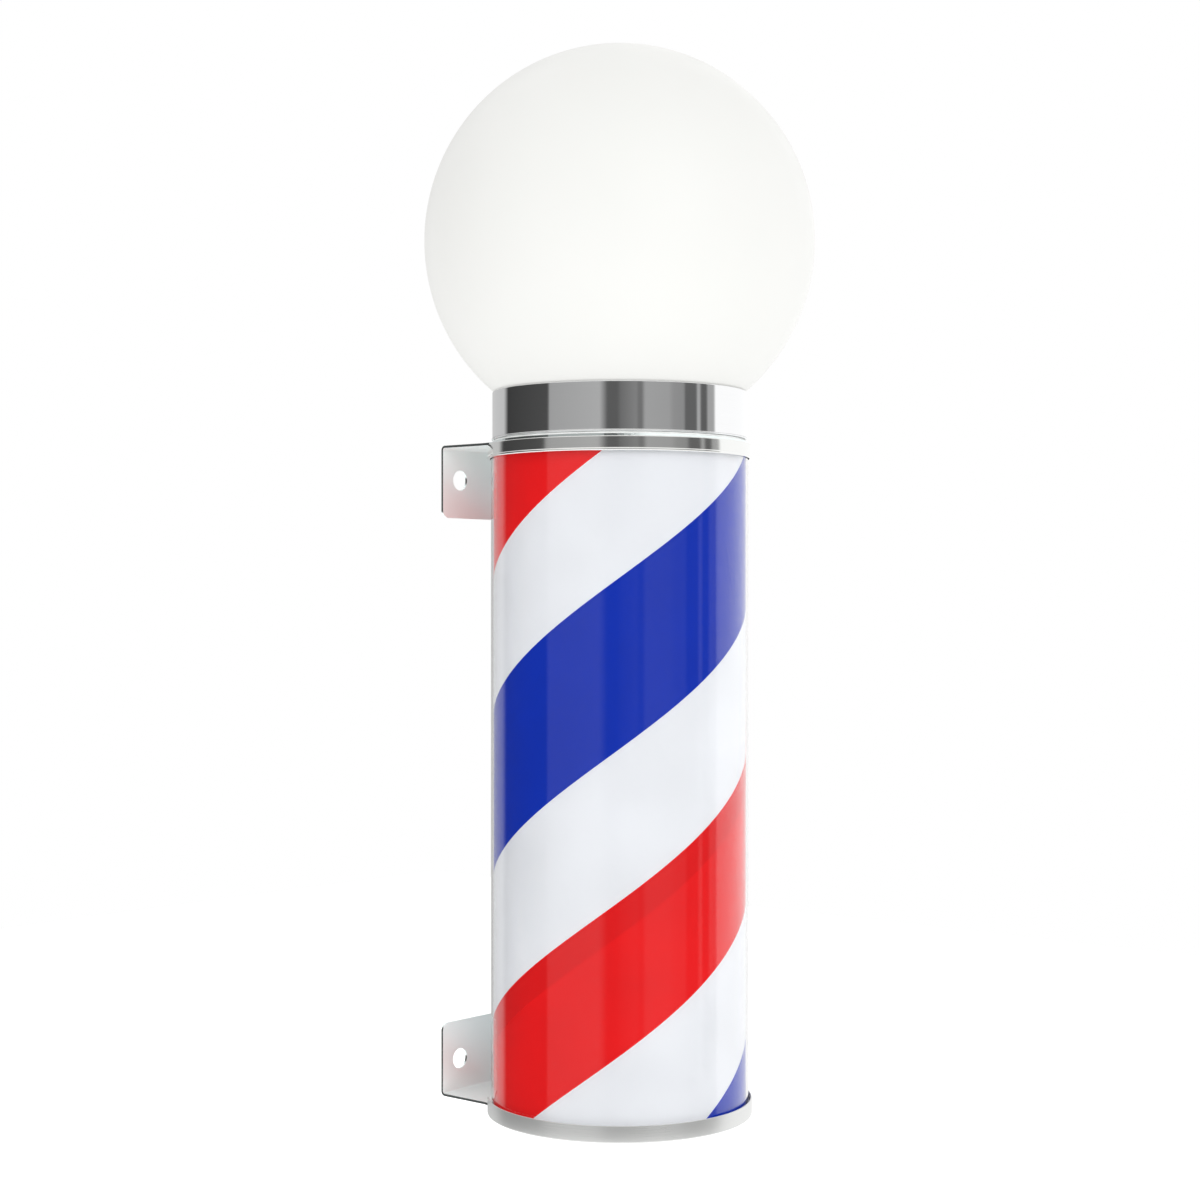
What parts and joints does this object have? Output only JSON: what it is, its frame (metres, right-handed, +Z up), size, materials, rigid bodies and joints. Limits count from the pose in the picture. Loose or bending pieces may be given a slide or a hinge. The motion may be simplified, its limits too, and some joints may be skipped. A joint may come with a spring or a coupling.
{
  "type": "barber pole light",
  "caption": "Wall-held barber pole light: opal globe lamp on a chrome collar above a clear tube with a turning drum of helical stripes, on sheet-metal brackets.",
  "frame": {"origin": "centre of the four wall holes, on the wall's plane (the back faces of the bracket plates)", "axes": "+Z up along the pole, +Y into the wall, -Y to the front, +X to the right seen from the front"},
  "size_m": [0.25, 0.25, 0.6816],
  "materials": {
    "opal": "opal white, softly glossy",
    "chrome": "mirror polished",
    "black_rubber": "matt",
    "plated_steel": "zinc plated",
    "silicone": "soft, milky",
    "spring_steel": "rolled, blued lightly",
    "screw_steel": "bright zinc",
    "black_plastic": "fine matt",
    "white_plastic": "moulded",
    "cream_plastic": "moulded acetal",
    "wire": "insulated",
    "polished_steel": "polished sheet",
    "satin_steel": "satin, fine ring brushing",
    "clear": "clear, glossy",
    "brass": "turned",
    "aluminium": "extruded, anodised",
    "circuit": "white solder mask",
    "led": "phosphor in a white frame",
    "rocker_plastic": "moulded",
    "striped_film": "printed sheet with red, white and blue helical bands"
  },
  "bodies": {
    "fixture": {"globe": "opal", "globe_collar": "chrome", "globe_gasket": "silicone", "globe_seat": "plated_steel", "globe_pad": "silicone", "globe_clips": "spring_steel", "collar_seal": "silicone", "collar_screws": "screw_steel", "collar_nuts": "screw_steel", "lamp_bridge": "plated_steel", "lamp_screws": "screw_steel", "lamp_holder": "black_plastic", "bulb_base": "plated_steel", "bulb_body": "white_plastic", "bulb_diffuser": "opal", "lamp_wires": "wire", "upper_bracket": "polished_steel", "top_cap": "polished_steel", "cap_screws": "screw_steel", "upper_seal": "silicone", "top_pivot": "cream_plastic", "pivot_screws": "screw_steel", "outer_tube": "clear", "lower_seal": "silicone", "lower_bracket": "polished_steel", "bottom_cap": "satin_steel", "pan_screws": "screw_steel", "column_foot": "cream_plastic", "foot_screws": "screw_steel", "thrust_washer": "brass", "led_column": "aluminium", "led_strips": "circuit", "led_chips": "led", "gear_motor": "plated_steel", "motor_spacers": "black_rubber", "motor_screws": "screw_steel", "led_driver": "white_plastic", "driver_screws": "screw_steel", "terminal_block": "cream_plastic", "terminal_screws": "brass", "cable_grommet": "black_rubber", "light_switch_body": "black_plastic", "motor_switch_body": "black_plastic", "switch_tags": "brass"},
    "drum": {"drum_film": "striped_film", "lower_hoop": "white_plastic", "lower_spider": "white_plastic", "drive_gear": "cream_plastic", "gear_screws": "screw_steel", "upper_spider": "white_plastic"},
    "pinion": {"motor_pinion": "brass", "motor_shaft": "screw_steel"},
    "light_key": {"light_rocker": "rocker_plastic"},
    "motor_key": {"motor_rocker": "rocker_plastic"}
  },
  "joints": [
    {"name": "drum_spin", "type": "hinge", "parent": "fixture", "child": "drum", "pos_m": [0, -0.104, 0], "axis": [0, 0, 1], "continuous": true},
    {"name": "pinion_spin", "type": "hinge", "parent": "fixture", "child": "pinion", "pos_m": [0, -0.152, -0.1825], "axis": [0, 0, 1], "continuous": true},
    {"name": "light_switch", "type": "hinge", "parent": "fixture", "child": "light_key", "pos_m": [-0.052, -0.094, -0.2111], "axis": [0, 1, 0], "range_deg": [0, 14]},
    {"name": "motor_switch", "type": "hinge", "parent": "fixture", "child": "motor_key", "pos_m": [-0.052, -0.114, -0.2111], "axis": [0, 1, 0], "range_deg": [0, 14]}
  ],
  "couplings": [
    {"joint": "pinion_spin", "follows": "drum_spin", "ratio": -3}
  ]
}
